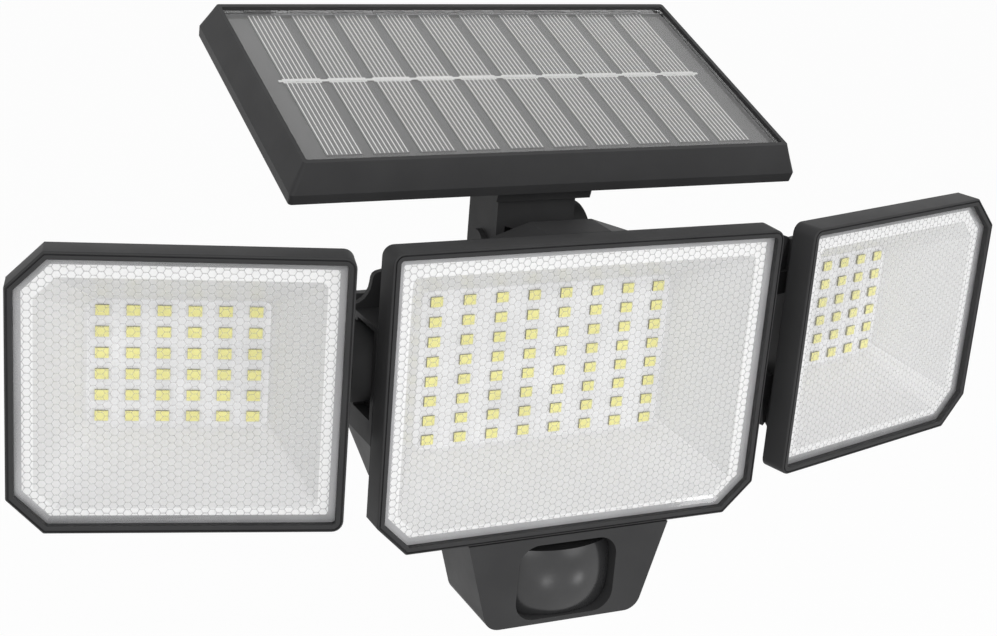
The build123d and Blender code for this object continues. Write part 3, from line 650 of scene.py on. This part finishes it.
def chip_tree():
    """Grid of LED packages with a window in each face."""
    tree, given, keys = new_tree("LED grid", (
        ("Chip", "Object"), ("Pitch across", "Float"), ("Pitch up", "Float"),
        ("Columns", "Int"), ("Rows", "Int"), ("Window above", "Float"), ("Window below", "Float"),
        ("Side material", "Material"), ("Window material", "Material"),
    ))
    columns, rows = given.outputs["Columns"], given.outputs["Rows"]
    gaps_across = maths(tree, "SUBTRACT", columns, 1.0)
    gaps_up = maths(tree, "SUBTRACT", rows, 1.0)
    spread = node(
        tree, "GeometryNodeMeshGrid",
        Size_X=maths(tree, "MULTIPLY", given.outputs["Pitch across"], gaps_across),
        Size_Y=maths(tree, "MULTIPLY", given.outputs["Pitch up"], gaps_up),
        Vertices_X=columns,
        Vertices_Y=rows,
    )
    chip = node(tree, "GeometryNodeObjectInfo", Object=given.outputs["Chip"])
    copies = node(
        tree, "GeometryNodeInstanceOnPoints",
        Points=spread.outputs[0], Instance=chip.outputs["Geometry"],
    )
    real = node(tree, "GeometryNodeRealizeInstances", Geometry=copies.outputs[0])
    sides = node(
        tree, "GeometryNodeSetMaterial",
        Geometry=real.outputs[0], Material=given.outputs["Side material"],
    )
    middle = tree.nodes.new("ShaderNodeSeparateXYZ")
    tree.links.new(tree.nodes.new("GeometryNodeInputPosition").outputs[0], middle.inputs[0])
    window = maths(
        tree, "MULTIPLY",
        maths(tree, "GREATER_THAN", middle.outputs["Z"], given.outputs["Window above"]),
        maths(tree, "LESS_THAN", middle.outputs["Z"], given.outputs["Window below"]),
    )
    windows = node(
        tree, "GeometryNodeSetMaterial",
        Geometry=sides.outputs[0], Selection=window, Material=given.outputs["Window material"],
    )
    out = tree.nodes.new("NodeGroupOutput")
    tree.links.new(windows.outputs[0], out.inputs[0])
    return tree, keys


def finger_tree():
    """Fine lines printed along each cell strip."""
    tree, given, keys = new_tree("Cell fingers", (
        ("Strips", "Int"), ("Strip pitch", "Float"), ("Fingers", "Int"), ("Finger pitch", "Float"),
        ("Length", "Float"), ("Width", "Float"), ("Thickness", "Float"), ("Material", "Material"),
    ))

    def row(count, pitch):
        """Line of points, centred on the origin."""
        span = maths(tree, "MULTIPLY", maths(tree, "SUBTRACT", count, 1.0), pitch)
        return node(
            tree, "GeometryNodeMeshLine",
            Count=count,
            Start_Location=vector(tree, maths(tree, "MULTIPLY", span, -0.5)),
            Offset=vector(tree, pitch),
        )

    size = vector(tree, *(given.outputs[label] for label in ("Width", "Length", "Thickness")))
    copies = node(tree, "GeometryNodeMeshCube", Size=size)
    for label in ("Finger", "Strip"):
        spots = row(given.outputs[label + "s"], given.outputs[label + " pitch"])
        copies = node(
            tree, "GeometryNodeInstanceOnPoints",
            Points=spots.outputs[0], Instance=copies.outputs[0],
        )
    finish_tree(tree, copies.outputs[0], given.outputs["Material"])
    return tree, keys


def spots_tree():
    """Copies of one object on the points of another, all turned the same way."""
    tree, given, keys = new_tree("Screws", (
        ("Screw", "Object"), ("Spots", "Object"), ("Turn", "Vector"), ("Material", "Material"),
    ))
    screw = node(tree, "GeometryNodeObjectInfo", Object=given.outputs["Screw"])
    spots = node(tree, "GeometryNodeObjectInfo", Object=given.outputs["Spots"])
    copies = node(
        tree, "GeometryNodeInstanceOnPoints",
        Points=spots.outputs["Geometry"], Instance=screw.outputs["Geometry"],
        Rotation=given.outputs["Turn"],
    )
    finish_tree(tree, copies.outputs[0], given.outputs["Material"])
    return tree, keys


def template(name, mesh):
    """Object that a tree copies or reads, to be removed after it."""
    obj = bpy.data.objects.new(name, mesh)
    bpy.context.scene.collection.objects.link(obj)
    return obj


# Pieces -----------------------------------------------------------------------------------


class FinishSettings(bpy.types.PropertyGroup):
    """Colours of the light's materials"""

    housing: FloatVectorProperty(
        name="Housing", description="Colour of the black plastic", subtype="COLOR",
        default=(0.047, 0.047, 0.048), min=0.0, max=1.0,
    )
    reflector: FloatVectorProperty(
        name="Reflector", description="Colour of the reflectors and boards", subtype="COLOR",
        default=(0.86, 0.86, 0.865), min=0.0, max=1.0,
    )
    seal: FloatVectorProperty(
        name="Seal", description="Colour of the band round each lens", subtype="COLOR",
        default=(0.5, 0.5, 0.51), min=0.0, max=1.0,
    )
    phosphor: FloatVectorProperty(
        name="Phosphor", description="Colour of the LED windows", subtype="COLOR",
        default=(0.9, 0.85, 0.31), min=0.0, max=1.0,
    )
    ribs: FloatVectorProperty(
        name="Ribs", description="Colour of the honeycomb's ribs", subtype="COLOR",
        default=(0.34, 0.34, 0.34), min=0.0, max=1.0,
    )
    backing: FloatVectorProperty(
        name="Backing", description="Colour of the sheet behind the cells", subtype="COLOR",
        default=(0.115, 0.115, 0.115), min=0.0, max=1.0,
    )
    cell: FloatVectorProperty(
        name="Cells", description="Colour of the cell strips", subtype="COLOR",
        default=(0.155, 0.155, 0.155), min=0.0, max=1.0,
    )


class LensSettings(bpy.types.PropertyGroup):
    """Sizes of the honeycomb behind each lens"""

    pitch: FloatProperty(
        name="Cell pitch", description="Height of one honeycomb cell", default=0.00205,
        min=0.001, max=0.01, unit="LENGTH", precision=5,
    )
    rib_width: FloatProperty(
        name="Rib width", description="Width of the lines between the cells", default=0.00024,
        min=0.00005, max=0.001, unit="LENGTH", precision=5,
    )
    rib_depth: FloatProperty(
        name="Rib depth", description="How far the ribs stand off the lens", default=0.00012,
        min=0.00005, max=0.0003, unit="LENGTH", precision=5,
    )


class PanelSettings(bpy.types.PropertyGroup):
    """Cells of the solar panel"""

    strips: IntProperty(
        name="Strips", description="Number of cell strips", default=10, min=1, max=40,
    )
    fingers: IntProperty(
        name="Fingers", description="Printed lines on each strip", default=8, min=1, max=40,
    )
    finger_width: FloatProperty(
        name="Finger width", description="Width of a printed line", default=0.00026,
        min=0.00005, max=0.001, unit="LENGTH", precision=5,
    )


class StageSettings(bpy.types.PropertyGroup):
    """Light and floor of the stage"""

    sky: FloatProperty(
        name="Sky", description="Light from all round", default=0.54, min=0.0, max=2.0,
    )
    key: FloatProperty(
        name="Key", description="Power of the main soft lamp", default=8.4, min=0.0, unit="POWER",
    )
    floor_drop: FloatProperty(
        name="Floor drop", description="How far the floor lies below the light", default=0.3,
        min=0.0, unit="LENGTH",
    )


class LIGHT_OT_finishes(bpy.types.Operator):
    """Give every CAD node the finish of its material slot"""

    bl_idname = "security_light.finishes"
    bl_label = "Finishes"

    def execute(self, context):
        FINISHES.update(make_finishes(context.scene.light_finish))
        for part in frame["record"]["subparts"]:
            obj = frame["nodes"][part["node"]]
            for slot in obj.material_slots:
                slot.material = FINISHES[part["material_slot"]]
        return {"FINISHED"}


class LIGHT_OT_frames(bpy.types.Operator):
    """Lamp frames with rounded rims"""

    bl_idname = "security_light.frames"
    bl_label = "Lamp frames"

    def execute(self, context):
        # outer and inner rounding, back chamfer, and the seam's width, depth and slant, in mm
        rim, edge, back = 0.5, 0.2, 0.2
        seam, sunk, slant = 0.35, 0.5, 0.04
        section = [(0.0, -FRAME_DEPTH + back)]
        for turn in quarter(3):
            section.append((rim * (1 - math.cos(turn)), -rim * (1 - math.sin(turn))))
        section += [
            (rim + slant, -sunk),
            (rim + slant + seam, -sunk),
            (rim + 2 * slant + seam, 0.0),
        ]
        for turn in quarter(2):
            section.append((LIP_WIDTH - edge * (1 - math.sin(turn)), -edge * (1 - math.cos(turn))))
        section += [
            (LIP_WIDTH, -LIP_DEPTH),
            (FRAME_WALL, -LIP_DEPTH),
            (FRAME_WALL, -FRAME_DEPTH),
            (back, -FRAME_DEPTH),
        ]
        for head in HEADS:
            rings = [(rounded(head.corners(), inset), height) for inset, height in section]
            mesh = stacked(rings, head.place)
            frame_node = head.name + "_frame"
            piece(head.name + "_rim", mesh, head.body, FINISHES["black_housing"], (frame_node,))
        return {"FINISHED"}


class LIGHT_OT_combs(bpy.types.Operator):
    """Honeycomb of fine ribs behind each lens"""

    bl_idname = "security_light.combs"
    bl_label = "Honeycombs"

    def execute(self, context):
        settings = context.scene.light_lens
        clearance = 0.01 * MM
        tree, keys = comb_tree()
        for head in HEADS:
            mesh = grown(tree, keys, {
                "Width": head.size[0] * MM,
                "Height": head.size[1] * MM,
                "Cell pitch": settings.pitch,
                "Rib width": settings.rib_width,
                "Rib depth": settings.rib_depth,
                "Material": FINISHES["ribs"],
            })
            shape = bmesh.new()
            shape.from_mesh(mesh)
            edges = drawn_in(head.corners(), LIP_WIDTH + SEAL_BAND)
            for i, corner in enumerate(edges):
                along = (edges[(i + 1) % len(edges)] - corner).normalized()
                bmesh.ops.bisect_plane(
                    shape, geom=shape.verts[:] + shape.edges[:] + shape.faces[:],
                    plane_co=(corner.x * MM, corner.y * MM, 0.0), plane_no=(along.y, -along.x, 0.0),
                    clear_outer=True, dist=1e-7,
                )
            open_edges = [edge for edge in shape.edges if edge.is_boundary]
            bmesh.ops.holes_fill(shape, edges=open_edges, sides=0)
            lift = -LENS_BACK * MM - settings.rib_depth / 2 - clearance
            shape.transform(head.place @ Matrix.Translation((0.0, 0.0, lift)))
            shape.to_mesh(mesh)
            shape.free()
            comb = piece(head.name + "_lens_comb", mesh, head.body, FINISHES["ribs"])
        return {"FINISHED"}


class LIGHT_OT_leds(bpy.types.Operator):
    """Rows of LEDs, each with a yellow window in its package and sides in a dark olive of painted
    shade
    """

    bl_idname = "security_light.leds"
    bl_label = "LEDs"

    def execute(self, context):
        # the package's chamfer and rim, and the slanted edge and depth of its window, in mm
        chamfer, rim, slant, dip = 0.06, 0.14, 0.04, 0.06
        margin = 0.001
        rows = (
            (0.0, 0.0),
            (0.0, CHIP_THICK - chamfer),
            (chamfer, CHIP_THICK),
            (rim, CHIP_THICK),
            (rim + slant, CHIP_THICK - dip),
        )
        rings = []
        for inset, z in rows:
            x, y = CHIP_WIDE / 2 - inset, CHIP_HIGH / 2 - inset
            points = [Vector(p) for p in ((-x, -y), (x, -y), (x, y), (-x, y))]
            rings.append((points, z))
        chip = template("chip", stacked(rings, Matrix.Identity(4), loop=False))
        tree, keys = chip_tree()
        for head in HEADS:
            across, up, columns, count = head.grid
            mesh = grown(tree, keys, {
                "Chip": chip,
                "Pitch across": across * MM,
                "Pitch up": up * MM,
                "Columns": columns,
                "Rows": count,
                "Window above": (CHIP_THICK - dip - margin) * MM,
                "Window below": (CHIP_THICK + margin) * MM,
                # the packages' sides take the dark olive of painted shade
                "Side material": FINISHES["led_chip"],
                "Window material": FINISHES["led_window"],
            })
            mesh.transform(head.place @ Matrix.Translation((0.0, head.rise * MM, -BOARD_TOP * MM)))
            piece(head.name + "_led_chips", mesh, head.body, None, (head.name + "_leds",))
        bpy.data.objects.remove(chip)
        return {"FINISHED"}


class LIGHT_OT_fingers(bpy.types.Operator):
    """Fine printed lines along the solar cell strips"""

    bl_idname = "security_light.fingers"
    bl_label = "Cell fingers"

    def execute(self, context):
        settings = context.scene.light_panel
        tree, keys = finger_tree()
        mesh = grown(tree, keys, {
            "Strips": settings.strips,
            "Strip pitch": STRIP_PITCH * MM,
            "Fingers": settings.fingers,
            "Finger pitch": FINGER_PITCH * MM,
            "Length": STRIP_LENGTH * MM,
            "Width": settings.finger_width,
            "Thickness": FINGER_THICK * MM,
            "Material": FINISHES["tinned_strip"],
        })
        start = Vector((0.0, STRIP_MIDDLE, FINGER_THICK / 2 - STRIP_SUNK)) * MM
        mesh.transform(panel_place() @ Matrix.Translation(start))
        fingers = piece("cell_fingers", mesh, "solar_panel", FINISHES["tinned_strip"])
        return {"FINISHED"}


class LIGHT_OT_screws(bpy.types.Operator):
    """Cross-head screws of the housing, bracket and panel, and the pins of the hinges"""

    bl_idname = "security_light.screws"
    bl_label = "Screws"

    def execute(self, context):
        tree, keys = spots_tree()
        backwards = -math.pi / 2
        under = math.pi + PANEL_SLOPE
        under_panel = [
            panel_place() @ Vector((0.0, up * MM, -PANEL_SEAT_SUNK * MM)) for up in PANEL_SEATS
        ]
        sets = [
            ("housing_cross_screws", "housing", "housing_screws", HOUSING_SCREW, backwards,
             lifted(HOUSING_SEATS)),
            ("bracket_cross_screws", "housing", "bracket_screws", BRACKET_SCREW, backwards,
             lifted(BRACKET_SEATS)),
            ("panel_cross_screws", "solar_panel", "panel_screws", PANEL_SCREW, under, under_panel),
        ]
        across, depth, high = PIN_SEAT
        for name, side in (("left", -1), ("right", 1)):
            seat = lifted([(across * side, depth, high)])
            sets.append((
                name + "_slot_pin", name + "_lamp", name + "_swivel_pin", SWIVEL_PIN, 0.0, seat,
            ))
        for name, body, replaced, sizes, tilt, spots in sets:
            screw = template("screw", as_mesh(screw_shape(*sizes)))
            marks = bpy.data.meshes.new("marks")
            marks.from_pydata(spots, [], [])
            marked = template("marks", marks)
            mesh = grown(tree, keys, {
                "Screw": screw,
                "Spots": marked,
                "Turn": (tilt, 0.0, 0.0),
                "Material": FINISHES["steel"],
            })
            piece(name, mesh, body, FINISHES["steel"], (replaced,))
            bpy.data.objects.remove(screw)
            bpy.data.objects.remove(marked)
        return {"FINISHED"}


def lifted(spots):
    """Places in metres from (across, depth behind the rims, height) in mm."""
    return [(x * MM, (depth - DEPTH) * MM, z * MM + LIFT) for x, depth, z in spots]


def screw_shape(core, cap, high, long):
    """Bmesh of a pan-head screw along -Z, in mm, with its seat at the origin and a cross recess.

    One longer than pin_long is a pin without a thread.
    """
    pin_long = 20.0
    tip_long, pitch, plain_neck = 0.8, 0.85, 1.5
    root = core * 0.8
    profile = [(0.0, -long), (core * 0.5, -long), (core, -long + tip_long)]
    depth = -long + tip_long
    while long < pin_long and depth < -plain_neck:
        profile += [(root, depth + 0.3), (root, depth + 0.55), (core, depth + pitch)]
        depth += pitch
    profile += [(core, -0.01), (cap, 0.0), (cap, high * 0.45)]
    profile += [(cap * 0.88, high * 0.85), (cap * 0.66, high)]
    shape = turned(profile, 24)
    rim = [edge for edge in shape.edges if edge.is_boundary]
    # half the length and half the width of the recess's arms, then its outline
    tip, half = cap * 0.5, cap * 0.11
    corners = [(half, tip), (half, half), (tip, half), (tip, -half), (half, -half), (half, -tip)]
    corners += [(-x, -y) for x, y in corners]
    lip = [shape.verts.new((x * MM, y * MM, high * MM)) for x, y in corners]
    foot = [shape.verts.new((x * MM, y * MM, high * 0.45 * MM)) for x, y in corners]
    edges = [shape.edges.new((lip[i - 1], lip[i])) for i in range(len(lip))]
    bmesh.ops.triangle_fill(shape, use_beauty=True, edges=rim + edges)
    for i in range(len(lip)):
        shape.faces.new((lip[i - 1], lip[i], foot[i], foot[i - 1]))
    shape.faces.new(foot)
    return shape


class LIGHT_OT_stage(bpy.types.Operator):
    """Floor, lamps, sky and camera"""

    bl_idname = "security_light.stage"
    bl_label = "Stage"

    def execute(self, context):
        settings = context.scene.light_stage
        make_sky(context.scene, settings.sky)
        make_floor(settings.floor_drop)
        soft_lamp("key", KEY_PLACE, LAMP_AIM, KEY_SIZE, settings.key)
        soft_lamp("fill", FILL_PLACE, LAMP_AIM, FILL_SIZE, settings.key * FILL_SHARE)
        for name, place in SPOT_PLACES.items():
            soft_lamp(name, place, SPOT_AIM, SPOT_SIZE, SPOT_POWER)
        make_camera(context.scene)
        context.scene.view_settings.view_transform = "Standard"
        return {"FINISHED"}


def seen_directly(tree):
    """1 for what the camera, mirrors and glass see, 0 for the light on matt surfaces."""
    path = tree.nodes.new("ShaderNodeLightPath").outputs
    direct = maths(tree, "MAXIMUM", path["Is Camera Ray"], path["Is Glossy Ray"])
    return maths(tree, "MAXIMUM", direct, path["Is Transmission Ray"])


def make_sky(scene, strength):
    """White studio all round, dimmer for the light that it gives."""
    world = bpy.data.worlds.new("studio")
    world.use_nodes = True
    tree = world.node_tree
    tree.nodes.clear()
    mix = tree.nodes.new("ShaderNodeMixShader")
    out = tree.nodes.new("ShaderNodeOutputWorld")
    tree.links.new(seen_directly(tree), mix.inputs["Fac"])
    for socket, power in ((mix.inputs[1], strength), (mix.inputs[2], 1.0)):
        white = tree.nodes.new("ShaderNodeBackground")
        white.inputs["Strength"].default_value = power
        white.inputs["Color"].default_value = (1.0, 1.0, 1.0, 1.0)
        tree.links.new(white.outputs[0], socket)
    tree.links.new(mix.outputs[0], out.inputs["Surface"])
    scene.world = world


def make_floor(drop):
    """Plain pale floor below the light, with a glow that keeps the light's shadow faint."""
    reach = 6.0
    pale, glow_share, glow_power = 0.9, 0.86, 1.05
    low = cad_box[0][2] - drop
    mesh = bpy.data.meshes.new("floor")
    mesh.from_pydata(
        [(-reach, -reach, low), (reach, -reach, low), (reach, reach, low), (-reach, reach, low)],
        [], [(0, 1, 2, 3)],
    )
    mat = bpy.data.materials.new("pale_floor")
    mat.use_nodes = True
    tree = mat.node_tree
    matt = tree.nodes["Principled BSDF"]
    matt.inputs["Base Color"].default_value = (pale, pale, pale, 1.0)
    matt.inputs["Roughness"].default_value = 0.9
    glow = tree.nodes.new("ShaderNodeEmission")
    glow.inputs["Strength"].default_value = glow_power
    mix = tree.nodes.new("ShaderNodeMixShader")
    share = maths(tree, "MULTIPLY", seen_directly(tree), glow_share)
    tree.links.new(share, mix.inputs["Fac"])
    tree.links.new(matt.outputs[0], mix.inputs[1])
    tree.links.new(glow.outputs[0], mix.inputs[2])
    tree.links.new(mix.outputs[0], tree.nodes["Material Output"].inputs["Surface"])
    mesh.materials.append(mat)
    floor = bpy.data.objects.new("floor", mesh)
    bpy.context.scene.collection.objects.link(floor)


def soft_lamp(name, at, aim, size, power):
    """Round soft lamp that faces a point."""
    lamp = bpy.data.lights.new(name, "AREA")
    lamp.shape = "DISK"
    lamp.size = size
    lamp.energy = power
    obj = bpy.data.objects.new(name, lamp)
    obj.location = at
    obj.rotation_euler = (Vector(aim) - Vector(at)).to_track_quat("-Z", "Y").to_euler()
    bpy.context.scene.collection.objects.link(obj)


def make_camera(scene):
    """Camera at the photograph's viewpoint."""
    camera = bpy.data.cameras.new("camera")
    camera.sensor_width = CAMERA_SENSOR
    camera.lens = CAMERA_LENS
    camera.clip_start = 0.01
    camera.clip_end = 50.0
    obj = bpy.data.objects.new("camera", camera)
    turn = Matrix((CAMERA_RIGHT, CAMERA_UP, -CAMERA_AHEAD)).transposed().to_4x4()
    obj.matrix_world = Matrix.Translation(CAMERA_PLACE) @ turn
    scene.collection.objects.link(obj)
    scene.camera = obj


class LIGHT_PT_panel(bpy.types.Panel):
    """Lists the light's pieces"""

    bl_label = "Security light"
    bl_idname = "LIGHT_PT_panel"
    bl_space_type = "VIEW_3D"
    bl_region_type = "UI"
    bl_category = "Light"

    def draw(self, context):
        layout = self.layout
        for name in SETTINGS:
            settings = getattr(context.scene, name)
            for key in settings.__annotations__:
                layout.prop(settings, key)
        for operator in OPERATORS:
            layout.operator(operator.bl_idname)


OPERATORS = (
    LIGHT_OT_finishes,
    LIGHT_OT_frames,
    LIGHT_OT_combs,
    LIGHT_OT_leds,
    LIGHT_OT_fingers,
    LIGHT_OT_screws,
    LIGHT_OT_stage,
)
SETTINGS = {
    "light_finish": FinishSettings,
    "light_lens": LensSettings,
    "light_panel": PanelSettings,
    "light_stage": StageSettings,
}
CLASSES = (*SETTINGS.values(), *OPERATORS, LIGHT_PT_panel)


def register():
    for kind in CLASSES:
        bpy.utils.register_class(kind)
    for name, kind in SETTINGS.items():
        setattr(bpy.types.Scene, name, PointerProperty(type=kind))


def unregister():
    for name in SETTINGS:
        delattr(bpy.types.Scene, name)
    for kind in reversed(CLASSES):
        bpy.utils.unregister_class(kind)


def main():
    """Builds every piece."""
    register()
    bpy.ops.security_light.finishes()
    bpy.ops.security_light.frames()
    bpy.ops.security_light.combs()
    bpy.ops.security_light.leds()
    bpy.ops.security_light.fingers()
    bpy.ops.security_light.screws()
    bpy.ops.security_light.stage()


if __name__ == "__main__":
    main()
